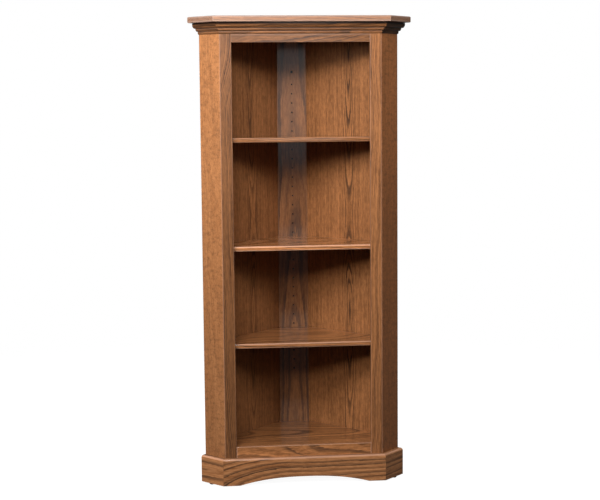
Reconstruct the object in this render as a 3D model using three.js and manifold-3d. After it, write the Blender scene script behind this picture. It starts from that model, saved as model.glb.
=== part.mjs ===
// A tall oak shelf unit for the inside corner of a room, in millimetres.
// X runs to the right, Y from the front towards the corner of the room, and Z up from the floor.
// The plan is drawn with Y = 0 on the front of the face frame, and the whole unit is then
// moved so that the origin lies on the floor under the middle of its box.
import * as THREE from "three";
import { mergeVertices } from "three/addons/utils/BufferGeometryUtils.js";
import Module from "manifold-3d";

const wasm = await Module();
wasm.setup();

// Stock sizes
const BOARD = 19.05; // solid oak, 3/4 in
const PANEL = 6.35; // oak plywood, 1/4 in
const GAP = 0.3; // glue line between touching pieces
const OVERSHOOT = 1; // how far a cutting tool reaches out past the face that it cuts

// Plan of the case
const HALF_FRONT = 311.8; // centre line to the front corner of the case
const RETURN_LENGTH = 107.5; // from the front corner back to the wall, at 45 degrees
const STILE_WIDTH = 44.45;
const RABBET_COVER = 9.5; // what is left of a return beside the rabbet for the back panel
const POST_HALF_WIDTH = 62.8; // front face of the corner post

// Heights
const HEIGHT = 1828.8; // 72 in
const GLIDE_HEIGHT = 6;
const TOP_THICKNESS = 23.2;
const CROWN_HEIGHT = 41.5;
const BASE_TOP = 111.8;
const BOTTOM_RAIL_HEIGHT = 95.25;
const BOTTOM_TOP = 154.7; // top of the fixed bottom board and of the bottom rail
const TOP_RAIL_BOTTOM = 1731;
const PANEL_BOTTOM = 12;

// Top board
const TOP_OVERHANG = 63.3;
const TOP_EDGE_RADIUS = 4;

// Base moulding, with its arch in the front
const BASE_DEPTH = 24;
const BASE_RADIUS = 9.5;
const ARCH_HALF_SPAN = 256;
const ARCH_RISE = 29; // above the moulding's lower edge
const ARCH_POWER = 2.4; // 2 is a parabola; more is flatter in the middle and steeper at the ends
const ARCH_STEPS = 32;

// Crown moulding: its three steps from the lowest up, each a drop of straight face over a quarter round
const CROWN_STEPS = [
  { inner: 1.5, outer: 6, bottom: 0, roundTop: 8, top: 11 },
  { inner: 9, outer: 18.5, bottom: 11, roundTop: 20.5, top: 22 },
  { inner: 22, outer: 36.5, bottom: 22, roundTop: 36, top: CROWN_HEIGHT },
];
const ARC_STEPS = 4;

// Shelf-pin holes and shelves
const HOLE_PITCH = 38.4;
const HOLE_COUNT = 32;
const TOP_HOLE = 1574.6;
const HOLE_RADIUS = 3.3;
const HOLE_DEPTH = 12;
const HOLE_SIDES = 10; // flats round a hole, a dowel, a pin's peg and a screw
const RETURN_HOLE_FROM_FRONT = 54;
const ANCHOR_HOLE = { z: 1625.9, radius: 5 }; // a recess for the screw that ties the unit to the wall
const SHELVES = [
  { name: "upper", hole: 6 },
  { name: "middle", hole: 17 },
  { name: "lower", hole: 27 },
]; // counted down from the top hole
const SHELF_CLEARANCE = 2;
const SHELF_EDGE_RADIUS = 5;

// Shelf pins
const PIN = {
  radius: 2.8,
  inWall: 9.5,
  collarRadius: 4.5,
  collarEnd: 1.5,
  tongueStart: 0.5,
  tongueHalfWidth: 4,
  tongueStraight: 6.5,
  tongueThickness: 2.4,
};
const ROUND_SIDES = 16; // flats round a pin's collar, its tongue's end and a glide

// Small parts
const GLIDE = {
  radius: 10,
  foot: 7.5,
  shoulderRadius: 9.4,
  shoulder: 1.4,
  side: 3.4,
  fromFront: 63,
  outside: 12,
  rearX: 35,
  rearSetback: 0.5,
};
const DOWEL = { radius: 3.7, hole: 4.1, half: 19, depth: 20 };
const DOWELS_OVER_TOP_RAIL_BOTTOM = [18, 56];
const DOWELS_UNDER_BOTTOM_TOP = [73, 22];
const CLEAT = { near: 14, far: 94, backHalf: 50, frontHalf: 240 };
const SCREW = { head: 4.2, rim: 0.6, headHeight: 3.4, shank: 2, point: 4, length: 30, clearance: 0.5 };
const SCREW_PLACES = [
  { side: -1, x: 210, y: 70, name: "front_left" },
  { side: 1, x: 210, y: 70, name: "front_right" },
  { side: -1, x: 110, y: 240, name: "rear_left" },
  { side: 1, x: 110, y: 240, name: "rear_right" },
];

// Worked out from the driving sizes
const COS45 = Math.SQRT1_2;
const MITRE = Math.tan(Math.PI / 8); // a front corner turns 45 degrees, so each mitre is 22.5
const WALL_SUM = HALF_FRONT + RETURN_LENGTH * Math.SQRT2; // |x| + y on the wall
const PANEL_SUM = WALL_SUM - PANEL * Math.SQRT2; // |x| + y on the panels' inner faces
const RETURN_DIFF = HALF_FRONT - BOARD * Math.SQRT2; // |x| - y on the returns' inner faces
const POST_FRONT = PANEL_SUM - POST_HALF_WIDTH;
const POST_BACK = POST_FRONT + BOARD;
const TOP_UNDERSIDE = HEIGHT - TOP_THICKNESS;
const CASE_TOP = TOP_UNDERSIDE - GAP;
const OPENING_HALF = HALF_FRONT - STILE_WIDTH;
const SUB_TOP_BOTTOM = CASE_TOP - BOARD;
const BOTTOM_UNDERSIDE = BOTTOM_TOP - BOARD;
const CENTRE_Y = (POST_BACK - TOP_OVERHANG) / 2;

const OAK = { color: 0x8a5530, roughness: 0.38, metalness: 0 };
const OAK_PANEL = { color: 0x7d4b2a, roughness: 0.42, metalness: 0 };
const POST_OAK = { color: 0x6b4a3c, roughness: 0.4, metalness: 0 };
const RAW_WOOD = { color: 0xb58a5a, roughness: 0.7, metalness: 0 };
const STEEL = { color: 0xa8a49c, roughness: 0.35, metalness: 1 };
const BLACK_PLASTIC = { color: 0x1c1714, roughness: 0.5, metalness: 0 };

const unit = new THREE.Group();
unit.position.y = -CENTRE_Y;

// Adds one named piece to the unit.
function piece(name, geometry, finish) {
  const mesh = new THREE.Mesh(geometry, new THREE.MeshStandardMaterial(finish));
  mesh.name = name;
  unit.add(mesh);
  return mesh;
}

// Turns a closed geometry into a solid for cutting and joining.
function solid(geometry) {
  const bare = geometry.clone();
  bare.deleteAttribute("normal");
  bare.deleteAttribute("uv");
  const merged = mergeVertices(bare, 1e-3);
  return new wasm.Manifold(
    new wasm.Mesh({
      numProp: 3,
      vertProperties: new Float32Array(merged.attributes.position.array),
      triVerts: new Uint32Array(merged.index.array),
    }),
  );
}

// Turns a solid back into a geometry.
function geometryOf(body) {
  const mesh = body.getMesh();
  const geometry = new THREE.BufferGeometry();
  geometry.setAttribute("position", new THREE.BufferAttribute(new Float32Array(mesh.vertProperties), 3));
  geometry.setIndex(new THREE.BufferAttribute(new Uint32Array(mesh.triVerts), 1));
  return geometry;
}

// A geometry with every tool cut out of it.
function cut(geometry, tools) {
  return geometryOf(tools.reduce((body, tool) => body.subtract(solid(tool)), solid(geometry)));
}

// An outline in plan, extruded from one height to another.
function prism(outline, bottom, top) {
  const shape = new THREE.Shape(outline.map(([x, y]) => new THREE.Vector2(x, y)));
  const geometry = new THREE.ExtrudeGeometry(shape, { depth: top - bottom, bevelEnabled: false });
  return geometry.translate(0, 0, bottom);
}

// A closed skin through rings of the same number of points. The flat outline, counter-clockwise, says
// how the two end rings are capped.
function loft(rings, outline) {
  const count = rings[0].length;
  const index = [];
  for (let ring = 0; ring + 1 < rings.length; ring++)
    for (let i = 0; i < count; i++) {
      const low = ring * count + i;
      const next = ring * count + ((i + 1) % count);
      index.push(low, next, next + count, low, next + count, low + count);
    }
  const last = (rings.length - 1) * count;
  const flat = outline.map(([u, v]) => new THREE.Vector2(u, v));
  for (const [a, b, c] of THREE.ShapeUtils.triangulateShape(flat, [])) {
    index.push(a, c, b);
    index.push(last + a, last + b, last + c);
  }
  const geometry = new THREE.BufferGeometry();
  geometry.setAttribute("position", new THREE.Float32BufferAttribute(rings.flat(2), 3));
  geometry.setIndex(index);
  return geometry;
}

// A board whose outline in plan, outlineAt(inset), draws in by a quarter round at the top and bottom edges.
function roundedBoard(outlineAt, bottom, thickness, radius) {
  const rings = [];
  const ringAt = (inset, z) => rings.push(outlineAt(inset).map(([x, y]) => [x, y, z]));
  for (let i = 0; i <= ARC_STEPS; i++) {
    const angle = (i / ARC_STEPS) * (Math.PI / 2);
    ringAt(radius * (1 - Math.sin(angle)), bottom + radius * (1 - Math.cos(angle)));
  }
  for (let i = ARC_STEPS; i >= 0; i--) {
    const angle = (i / ARC_STEPS) * (Math.PI / 2);
    ringAt(radius * (1 - Math.sin(angle)), bottom + thickness - radius * (1 - Math.cos(angle)));
  }
  return loft(rings, outlineAt(0));
}

// A point beside a return: so far back from the front corner, so far in from its outer face.
function besideReturn(side, back, inward) {
  return [side * (HALF_FRONT + (back - inward) * COS45), (back + inward) * COS45];
}

// The line that a moulding of a given projection follows: wall, front corner, front corner, wall.
function mouldingLine(projection) {
  return [
    besideReturn(-1, RETURN_LENGTH, -projection),
    [-HALF_FRONT - projection * MITRE, -projection],
    [HALF_FRONT + projection * MITRE, -projection],
    besideReturn(1, RETURN_LENGTH, -projection),
  ];
}

// One length of moulding between two stops of that line, mitred wherever it turns a front corner.
// The profile's points are [projection, height], counter-clockwise.
function moulding(profile, leg, bottom) {
  const trim = (GAP / 2) * (1 + MITRE);
  const ends = profile.map(([projection, height]) => {
    const line = mouldingLine(projection);
    const start = new THREE.Vector2(...line[leg]);
    const end = new THREE.Vector2(...line[leg + 1]);
    const step = end.clone().sub(start).normalize().multiplyScalar(trim);
    if (leg > 0) start.add(step);
    if (leg < 2) end.sub(step);
    return [start, end].map((point) => [point.x, point.y, bottom + height]);
  });
  // A profile drawn outwards and upwards faces back along its leg, so the far end comes first.
  return loft([ends.map((pair) => pair[1]), ends.map((pair) => pair[0])], profile);
}

// A round bar along a level direction, from one distance to another in front of a point.
function levelBar(x, y, z, direction, from, to, radius, sides) {
  const bar = new THREE.CylinderGeometry(radius, radius, to - from, sides);
  bar.rotateZ(-Math.PI / 2);
  bar.translate((from + to) / 2, 0, 0);
  bar.rotateZ(direction);
  return bar.translate(x, y, z);
}

// Where the three shelf-pin columns are, and which way a pin points out of its hole
const PIN_COLUMNS = {
  back: { at: [0, POST_FRONT], direction: -Math.PI / 2 },
  left: { at: besideReturn(-1, RETURN_HOLE_FROM_FRONT, BOARD), direction: Math.PI / 4 },
  right: { at: besideReturn(1, RETURN_HOLE_FROM_FRONT, BOARD), direction: (3 * Math.PI) / 4 },
};

function holeHeight(hole) {
  return TOP_HOLE - hole * HOLE_PITCH;
}

// Every shelf-pin hole of one column.
function holeColumn({ at, direction }) {
  return Array.from({ length: HOLE_COUNT }, (_, hole) =>
    levelBar(...at, holeHeight(hole), direction, -HOLE_DEPTH, OVERSHOOT, HOLE_RADIUS, HOLE_SIDES),
  );
}

// Dowels across a joint between a rail and a stile
function dowelBar(side, z, half, radius) {
  return levelBar(side * OPENING_HALF, BOARD / 2, z, 0, -half, half, radius, HOLE_SIDES);
}

const DOWEL_HEIGHTS = {
  top_rail: DOWELS_OVER_TOP_RAIL_BOTTOM.map((up) => TOP_RAIL_BOTTOM + up),
  bottom_rail: DOWELS_UNDER_BOTTOM_TOP.map((down) => BOTTOM_TOP - down),
};

function dowelHoles(sides, heights) {
  return sides.flatMap((side) => heights.map((z) => dowelBar(side, z, DOWEL.depth, DOWEL.hole)));
}

function addFaceFrame() {
  const everyHeight = Object.values(DOWEL_HEIGHTS).flat();
  for (const [name, side] of [["left_stile", -1], ["right_stile", 1]]) {
    const outline = [
      [side * OPENING_HALF, 0],
      [side * HALF_FRONT, 0],
      [side * (HALF_FRONT - BOARD * MITRE), BOARD],
      [side * OPENING_HALF, BOARD],
    ];
    piece(name, cut(prism(outline, GLIDE_HEIGHT, CASE_TOP), dowelHoles([side], everyHeight)), OAK);
  }
  const rails = [
    ["top_rail", TOP_RAIL_BOTTOM, CASE_TOP],
    ["bottom_rail", BOTTOM_TOP - BOTTOM_RAIL_HEIGHT, BOTTOM_TOP],
  ];
  const half = OPENING_HALF - GAP;
  for (const [name, bottom, top] of rails) {
    const bar = prism([[-half, 0], [half, 0], [half, BOARD], [-half, BOARD]], bottom, top);
    piece(name, cut(bar, dowelHoles([-1, 1], DOWEL_HEIGHTS[name])), OAK);
    for (const [end, side] of [["left", -1], ["right", 1]])
      DOWEL_HEIGHTS[name].forEach((z, i) =>
        piece(`${name}_${end}_dowel_${i + 1}`, dowelBar(side, z, DOWEL.half, DOWEL.radius), RAW_WOOD),
      );
  }
}

function addReturns() {
  const shoulder = RETURN_LENGTH - PANEL - GAP;
  const mitreGap = GAP / Math.cos(Math.PI / 8);
  for (const [name, side] of [["left", -1], ["right", 1]]) {
    const outline = [
      [mitreGap, 0],
      [RETURN_LENGTH, 0],
      [RETURN_LENGTH, RABBET_COVER],
      [shoulder, RABBET_COVER],
      [shoulder, BOARD],
      [BOARD * MITRE + mitreGap, BOARD],
    ].map(([back, inward]) => besideReturn(side, back, inward));
    const board = prism(outline, GLIDE_HEIGHT, CASE_TOP);
    piece(`${name}_return`, cut(board, holeColumn(PIN_COLUMNS[name])), OAK);
  }
}

function addBack() {
  for (const [name, side] of [["left", -1], ["right", 1]]) {
    const edge = RABBET_COVER + GAP;
    const outline = [
      besideReturn(side, RETURN_LENGTH - PANEL, edge),
      besideReturn(side, RETURN_LENGTH, edge),
      [side * (WALL_SUM - POST_BACK), POST_BACK],
      [side * (PANEL_SUM - POST_BACK), POST_BACK],
    ];
    piece(`${name}_back_panel`, prism(outline, PANEL_BOTTOM, CASE_TOP), OAK_PANEL);
  }
  const inside = PANEL_SUM - GAP * Math.SQRT2;
  const outline = [
    [POST_FRONT - inside, POST_FRONT],
    [inside - POST_FRONT, POST_FRONT],
    [inside - POST_BACK, POST_BACK],
    [POST_BACK - inside, POST_BACK],
  ];
  const { at, direction } = PIN_COLUMNS.back;
  const { z, radius } = ANCHOR_HOLE;
  const anchor = levelBar(...at, z, direction, -HOLE_DEPTH, OVERSHOOT, radius, HOLE_SIDES);
  const holes = [...holeColumn(PIN_COLUMNS.back), anchor];
  piece("corner_post", cut(prism(outline, GLIDE_HEIGHT, CASE_TOP), holes), POST_OAK);
}

// The plan of a board inside the case, held off the returns, the panels and the post by a clearance.
function insideOutline(front, clearance) {
  const diff = RETURN_DIFF - clearance * Math.SQRT2;
  const sum = PANEL_SUM - clearance * Math.SQRT2;
  const back = POST_FRONT - clearance;
  const right = [
    [diff + front, front],
    [(diff + sum) / 2, (sum - diff) / 2],
    [sum - back, back],
  ];
  const left = right.map(([x, y]) => [-x, y]).reverse();
  return [...right, ...left];
}

function screwPlace({ side, x, y }) {
  return [side * x, y];
}

// A countersunk screw that points up, with its head's face at a height; grown makes its clearance hole.
function screwBody(x, y, z, grown) {
  const profile = [
    [0, -grown],
    [SCREW.head + grown, -grown],
    [SCREW.head + grown, SCREW.rim],
    [SCREW.shank + grown, SCREW.headHeight + grown],
    [SCREW.shank + grown, SCREW.length - SCREW.point + grown],
    [0, SCREW.length + grown],
  ].map(([radius, height]) => new THREE.Vector2(radius, height));
  return new THREE.LatheGeometry(profile, HOLE_SIDES).rotateX(Math.PI / 2).translate(x, y, z);
}

function addTop() {
  const screws = SCREW_PLACES.map((place) => screwBody(...screwPlace(place), SUB_TOP_BOTTOM + GAP, 0));
  const holes = SCREW_PLACES.map((place) =>
    screwBody(...screwPlace(place), SUB_TOP_BOTTOM + GAP, SCREW.clearance),
  );
  const subTop = prism(insideOutline(BOARD + GAP, GAP), SUB_TOP_BOTTOM, CASE_TOP);
  piece("sub_top", cut(subTop, holes), OAK_PANEL);
  const clip = WALL_SUM - POST_BACK;
  const outlineAt = (inset) => [
    ...mouldingLine(TOP_OVERHANG - inset),
    [clip, POST_BACK],
    [-clip, POST_BACK],
  ];
  const top = roundedBoard(outlineAt, TOP_UNDERSIDE, TOP_THICKNESS, TOP_EDGE_RADIUS);
  piece("top_board", cut(top, holes), OAK);
  SCREW_PLACES.forEach(({ name }, i) => piece(`top_screw_${name}`, screws[i], STEEL));
}

function crownProfile() {
  const outer = CROWN_STEPS.flatMap(({ inner, outer: face, bottom, roundTop, top }) => {
    const points = [];
    for (let i = 0; i <= ARC_STEPS; i++) {
      const angle = (i / ARC_STEPS) * (Math.PI / 2);
      const across = (face - inner) * Math.sin(angle);
      const up = (roundTop - bottom) * (1 - Math.cos(angle));
      points.push([inner + across, bottom + up]);
    }
    points.push([face, top]);
    return points;
  });
  return [[GAP, 0], ...outer, [GAP, CROWN_HEIGHT]];
}

function baseProfile() {
  const height = BASE_TOP - GLIDE_HEIGHT;
  const points = [[GAP, 0], [BASE_DEPTH, 0]];
  for (let i = 0; i <= ARC_STEPS; i++) {
    const angle = (i / ARC_STEPS) * (Math.PI / 2);
    const across = BASE_DEPTH - BASE_RADIUS * (1 - Math.cos(angle));
    points.push([across, height - BASE_RADIUS * (1 - Math.sin(angle))]);
  }
  points.push([GAP, height]);
  return points;
}

// What the arch takes out of the front base, as deep as the moulding. Its height is the rise times
// one less a power of the way out to its end.
function archTool() {
  const shape = new THREE.Shape();
  shape.moveTo(-ARCH_HALF_SPAN, -GLIDE_HEIGHT);
  shape.lineTo(ARCH_HALF_SPAN, -GLIDE_HEIGHT);
  for (let i = 0; i <= ARCH_STEPS; i++) {
    const out = 1 - (2 * i) / ARCH_STEPS;
    shape.lineTo(out * ARCH_HALF_SPAN, ARCH_RISE * (1 - Math.abs(out) ** ARCH_POWER));
  }
  const tool = new THREE.ExtrudeGeometry(shape, { depth: BASE_DEPTH + 2 * OVERSHOOT, bevelEnabled: false });
  return tool.rotateX(Math.PI / 2).translate(0, OVERSHOOT, GLIDE_HEIGHT);
}

function addMouldings() {
  const crown = crownProfile();
  const base = baseProfile();
  ["left", "front", "right"].forEach((place, leg) => {
    piece(`crown_${place}`, moulding(crown, leg, CASE_TOP - CROWN_HEIGHT), OAK);
    const length = moulding(base, leg, GLIDE_HEIGHT);
    piece(`base_${place}`, place === "front" ? cut(length, [archTool()]) : length, OAK);
  });
}

function addBottom() {
  piece("bottom_board", prism(insideOutline(BOARD + GAP, GAP), BOTTOM_UNDERSIDE, BOTTOM_TOP), OAK_PANEL);
}

// Square cleats under a fixed board: one along each return and one on the post.
function addCleats(name, boardUnderside) {
  const top = boardUnderside - GAP;
  const bottom = top - BOARD;
  const near = BOARD + GAP;
  for (const [end, side] of [["left", -1], ["right", 1]]) {
    const outline = [
      besideReturn(side, CLEAT.near, near),
      besideReturn(side, CLEAT.far, near),
      besideReturn(side, CLEAT.far, near + BOARD),
      besideReturn(side, CLEAT.near, near + BOARD),
    ];
    piece(`${name}_cleat_${end}`, prism(outline, bottom, top), RAW_WOOD);
  }
  const back = POST_FRONT - GAP;
  const half = CLEAT.backHalf;
  const outline = [[-half, back - BOARD], [half, back - BOARD], [half, back], [-half, back]];
  piece(`${name}_cleat_back`, prism(outline, bottom, top), RAW_WOOD);
}

function addFrontCleat() {
  const top = BOTTOM_UNDERSIDE - GAP;
  const front = BOARD + GAP;
  const half = CLEAT.frontHalf;
  const outline = [[-half, front], [half, front], [half, front + BOARD], [-half, front + BOARD]];
  piece("bottom_cleat_front", prism(outline, top - BOARD, top), RAW_WOOD);
}

// A shelf rests on the flat tops of its three pins.
function addShelves() {
  for (const { name, hole } of SHELVES) {
    const outlineAt = (inset) => insideOutline(BOARD + SHELF_CLEARANCE + inset, SHELF_CLEARANCE);
    const underside = holeHeight(hole) + PIN.radius + GAP;
    piece(`shelf_${name}`, roundedBoard(outlineAt, underside, BOARD, SHELF_EDGE_RADIUS), OAK);
  }
}

// A shelf pin with its peg along -X in the wall, a collar, and a flat tongue that carries the shelf.
function pinGeometry() {
  const peg = levelBar(0, 0, 0, 0, -PIN.inWall, PIN.collarEnd, PIN.radius, HOLE_SIDES);
  const collar = levelBar(0, 0, 0, 0, GAP, PIN.collarEnd, PIN.collarRadius, ROUND_SIDES);
  const shape = new THREE.Shape();
  shape.moveTo(PIN.tongueStart, -PIN.tongueHalfWidth);
  shape.lineTo(PIN.tongueStraight, -PIN.tongueHalfWidth);
  shape.absarc(PIN.tongueStraight, 0, PIN.tongueHalfWidth, -Math.PI / 2, Math.PI / 2, false);
  shape.lineTo(PIN.tongueStart, PIN.tongueHalfWidth);
  const tongue = new THREE.ExtrudeGeometry(shape, {
    depth: PIN.tongueThickness,
    bevelEnabled: false,
    curveSegments: ROUND_SIDES / 2,
  }).translate(0, 0, PIN.radius - PIN.tongueThickness);
  const reach = 4 * PIN.inWall;
  const above = new THREE.BoxGeometry(reach, reach, reach).translate(0, 0, PIN.radius + reach / 2);
  return geometryOf(solid(peg).add(solid(collar)).add(solid(tongue)).subtract(solid(above)));
}

function addPins() {
  for (const { name, hole } of SHELVES)
    for (const [column, { at, direction }] of Object.entries(PIN_COLUMNS)) {
      const pin = piece(`pin_${name}_${column}`, pinGeometry(), STEEL);
      pin.position.set(...at, holeHeight(hole));
      pin.rotation.z = direction;
    }
}

function glideGeometry() {
  const top = GLIDE_HEIGHT - GAP;
  const profile = [
    [0, 0],
    [GLIDE.foot, 0],
    [GLIDE.shoulderRadius, GLIDE.shoulder],
    [GLIDE.radius, GLIDE.side],
    [GLIDE.radius, top],
    [0, top],
  ].map(([radius, height]) => new THREE.Vector2(radius, height));
  return new THREE.LatheGeometry(profile, ROUND_SIDES).rotateX(Math.PI / 2);
}

function addGlides() {
  const rearY = POST_BACK - GLIDE.radius - GLIDE.rearSetback;
  const places = {
    front_left: besideReturn(-1, GLIDE.fromFront, -GLIDE.outside),
    front_right: besideReturn(1, GLIDE.fromFront, -GLIDE.outside),
    rear_left: [-GLIDE.rearX, rearY],
    rear_right: [GLIDE.rearX, rearY],
  };
  for (const [place, [x, y]] of Object.entries(places))
    piece(`glide_${place}`, glideGeometry(), BLACK_PLASTIC).position.set(x, y, 0);
}

addFaceFrame();
addReturns();
addBack();
addTop();
addMouldings();
addBottom();
addCleats("bottom", BOTTOM_UNDERSIDE);
addFrontCleat();
addCleats("top", SUB_TOP_BOTTOM);
addShelves();
addPins();
addGlides();

export default unit;
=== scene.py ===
"""The looks of a tall oak shelf unit for the inside corner of a room.

Every size is in metres, with X to the right, Y from the front towards the corner of the room and
Z up from the floor. Plan outlines are drawn with Y = 0 on the front of the face frame, as a
cabinet maker would draw them, and shaped pieces are moved to their place as their mesh is made.
"""

import math

import bpy
import numpy as np
from bpy.props import FloatProperty, PointerProperty
from mathutils import Matrix, Vector


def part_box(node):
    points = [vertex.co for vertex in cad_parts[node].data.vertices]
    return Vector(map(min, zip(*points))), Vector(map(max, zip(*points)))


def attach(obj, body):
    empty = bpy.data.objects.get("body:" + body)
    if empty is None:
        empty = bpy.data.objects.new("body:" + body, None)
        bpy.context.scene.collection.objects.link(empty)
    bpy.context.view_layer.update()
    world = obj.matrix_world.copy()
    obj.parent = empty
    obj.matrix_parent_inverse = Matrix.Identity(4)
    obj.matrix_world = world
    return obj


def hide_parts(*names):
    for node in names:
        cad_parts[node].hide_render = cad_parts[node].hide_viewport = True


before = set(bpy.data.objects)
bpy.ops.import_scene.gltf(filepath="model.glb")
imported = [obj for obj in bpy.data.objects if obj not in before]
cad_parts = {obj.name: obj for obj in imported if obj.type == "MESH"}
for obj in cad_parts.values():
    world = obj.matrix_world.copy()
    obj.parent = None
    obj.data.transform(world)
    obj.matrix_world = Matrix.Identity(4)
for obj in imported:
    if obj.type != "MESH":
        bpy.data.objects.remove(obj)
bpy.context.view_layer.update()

bl_info = {
    "name": "Corner shelf unit",
    "version": (1, 0, 0),
    "blender": (4, 5, 0),
    "location": "3D View > Sidebar > Corner Unit",
    "description": "Builds the visible surfaces, the stained oak and the studio of a corner shelf unit",
    "category": "Add Mesh",
}

# What the frame says about the case
STILE_LOW, STILE_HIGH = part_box("left_stile")
TOP_LOW, TOP_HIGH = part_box("top_board")
BASE_LOW, BASE_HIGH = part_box("base_front")
CROWN_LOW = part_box("crown_front")[0]
POST_LOW, POST_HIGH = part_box("corner_post")
FRONT_Y = STILE_LOW.y

HALF_FRONT = -STILE_LOW.x
OPENING_HALF = -STILE_HIGH.x
BOARD = STILE_HIGH.y - STILE_LOW.y
CASE_BOTTOM = STILE_LOW.z
CASE_TOP = STILE_HIGH.z
POST_FRONT = POST_LOW.y - FRONT_Y
POST_BACK = POST_HIGH.y - FRONT_Y

# Sizes in plan that the boxes don't give
RETURN_LENGTH = 0.1075
PANEL = 0.00635
GLUE_LINE = 0.0003
RABBET_COVER = 0.0095
SHELF_CLEARANCE = 0.002
TOP_OVERHANG = 0.0633
BASE_DEPTH = 0.024
BASE_RADIUS = 0.0095
ARCH_HALF_SPAN = 0.256
ARCH_RISE = 0.029
ARCH_POWER = 2.4
ARCH_STATIONS = 161
ROOT_HALF = math.sqrt(0.5)
MITRE = math.tan(math.pi / 8)
WALL_SUM = HALF_FRONT + RETURN_LENGTH / ROOT_HALF
PANEL_SUM = WALL_SUM - PANEL / ROOT_HALF
PANEL_DEPTH = (PANEL_SUM + FRONT_Y) * ROOT_HALF
RETURN_DIFF = HALF_FRONT - BOARD / ROOT_HALF
LEFT_TURN = -45
RIGHT_TURN = 45
MOULDING_TURNS = {"left": LEFT_TURN, "front": 0, "right": RIGHT_TURN}
SIDES = {"left": -1, "right": 1}

# The crown's three steps from the lowest up: where each face stands out, how high its quarter round goes,
# the painted highlight on its upper edge (below nought, the top board's painted shadow) and the painted shade
# on its foot
CROWN_STEPS = (
    dict(inner=0.0015, outer=0.006, bottom=0.0, round_top=0.008, top=0.011, wear_and_painted_light_level=0.6, stain=0.0),
    dict(inner=0.009, outer=0.0185, bottom=0.011, round_top=0.0205, top=0.022, wear_and_painted_light_level=1.0, stain=0.5),
    dict(inner=0.022, outer=0.0365, bottom=0.022, round_top=0.036, top=0.0415, wear_and_painted_light_level=-0.6, stain=0.5),
)
CROWN_ARRIS = 0.0007
# How far round each quarter round the painted shade on its foot reaches
FOOT_SHADE_REACH = math.radians(50)

# Shelf-pin holes, the wall screw's hole, and the square of surface round each hole
HOLE_PITCH = 0.0384
HOLE_COUNT = 32
TOP_HOLE = 1.5746
HOLE_RADIUS = 0.0033
HOLE_DEPTH = 0.012
HOLE_BEVEL = 0.0004
HOLE_RIM = 0.0016
# Below a thin lip, each hole's wall and floor carry painted shade
HOLE_LIP_ABOVE_SHADE = 0.0006
RETURN_HOLE_FROM_FRONT = 0.054
ANCHOR_HEIGHT = 1.6259
ANCHOR_RADIUS = 0.005
HOLE_CELL = 0.009
HOLE_SIDE_STEPS = 6
HOLE_STATIONS = np.tan(np.linspace(-np.pi / 4, np.pi / 4, HOLE_SIDE_STEPS + 1)) * HOLE_CELL

# Rounded edges, and the wear and painted highlights on them
ARC_STEPS = 12
QUARTER_POINTS = ARC_STEPS // 2 + 1
EASE_STEPS = 3
EASE_MARGIN = 0.0022
TOP_CORNER = 0.0012
# How much painted highlight the top board's sides carry
TOP_SIDE_HIGHLIGHT = 0.45
SHELF_CORNER = 0.0008
SHELF_MARGIN = 0.002
SHELF_FRONT_REACH = 0.0012
SHELF_SIDE_WEAR_AND_HIGHLIGHT = 0.3
BASE_FOOT_STRIP = 0.003
BASE_MARGIN = 0.004
# How far below the cornice the top rail's strip of painted highlight starts
HIGHLIGHT_BELOW_CROWN = 0.008
SMOOTH_ANGLE = math.radians(32)
WELD_GRID = 1e-7

# The camera's place, its turns about the vertical, downwards and about its line of sight, and its lens
CAMERA_PLACE = (-0.5230, -5.2473, 1.5111)
CAMERA_YAW = math.radians(-5.775)
CAMERA_PITCH = math.radians(5.724)
CAMERA_ROLL = math.radians(0.503)
CAMERA_SENSOR = 36
CAMERA_LENS = 79.14
CAMERA_SHIFT = -0.03

# The soft lights: the strength that each has, its place, what it points at, its width and height,
# and whether the topcoat mirrors it
MIDDLE = (0.0, 0.0, 1.0)
LIGHTS = {
    "Key": ("key", (-2.75, -4.763, 3.0), MIDDLE, 1.0, 0.8, False),
    "Upper": ("upper", (-0.595, -2.222, 2.6), MIDDLE, 0.9, 0.7, True),
    "Right": ("right", (3.889, -3.889, 3.0), MIDDLE, 1.0, 0.8, False),
    "Card": ("card", (0.45, -4.5, 1.65), (0.45, 0.0, 1.65), 0.6, 1.2, True),
    "Side": ("side", (-1.626, -1.626, 2.0), MIDDLE, 0.9, 0.7, True),
    "Rear left": ("rear", (-2.2, 3.9, 2.6), MIDDLE, 1.4, 1.2, False),
    "Rear right": ("rear", (2.2, 3.9, 2.6), MIDDLE, 1.4, 1.2, False),
}
FLOOR_RADII = (0.05, 0.6, 1.2, 2.4, 4.0)
FLOOR_SPOKES = 48
FLOOR_FADE = (0.7, 3.2)


def linear(red, green, blue):
    """A colour picked on screen, from 0 to 255 a channel, as the light it stands for."""
    screen = np.array([red, green, blue]) / 255
    light = np.where(screen <= 0.04045, screen / 12.92, ((screen + 0.055) / 1.055) ** 2.4)
    return tuple(float(channel) for channel in light)


# Plans and outlines


def beside_return(side, back, inward):
    """A plan point beside a return, so far back from its front corner and so far in from its face."""
    along = HALF_FRONT + (back - inward) * ROOT_HALF
    return [side * along, (back + inward) * ROOT_HALF]


def moulding_line(projection):
    """Four stops of a moulding that stands out by a projection: wall, front corner, front corner, wall."""
    return np.array(
        [
            beside_return(-1, RETURN_LENGTH, -projection),
            [-HALF_FRONT - projection * MITRE, -projection],
            [HALF_FRONT + projection * MITRE, -projection],
            beside_return(1, RETURN_LENGTH, -projection),
        ]
    )


def inside_outline(front, clearance):
    """The plan of a board inside the case, held off the returns, panels and post by a clearance."""
    diff = RETURN_DIFF - clearance / ROOT_HALF
    total = PANEL_SUM - clearance / ROOT_HALF
    back = POST_FRONT - clearance
    right = np.array(
        [[diff + front, front], [(diff + total) / 2, (total - diff) / 2], [total - back, back]]
    )
    return np.concatenate([right, right[::-1] * [-1, 1]])


def counter_clockwise(outline):
    """The outline in the order that keeps its inside on the left, told by the sign of its area."""
    onward = np.roll(outline, -1, axis=0)
    area = (outline[:, 0] * onward[:, 1] - onward[:, 0] * outline[:, 1]).sum()
    return outline if area > 0 else outline[::-1]


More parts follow.
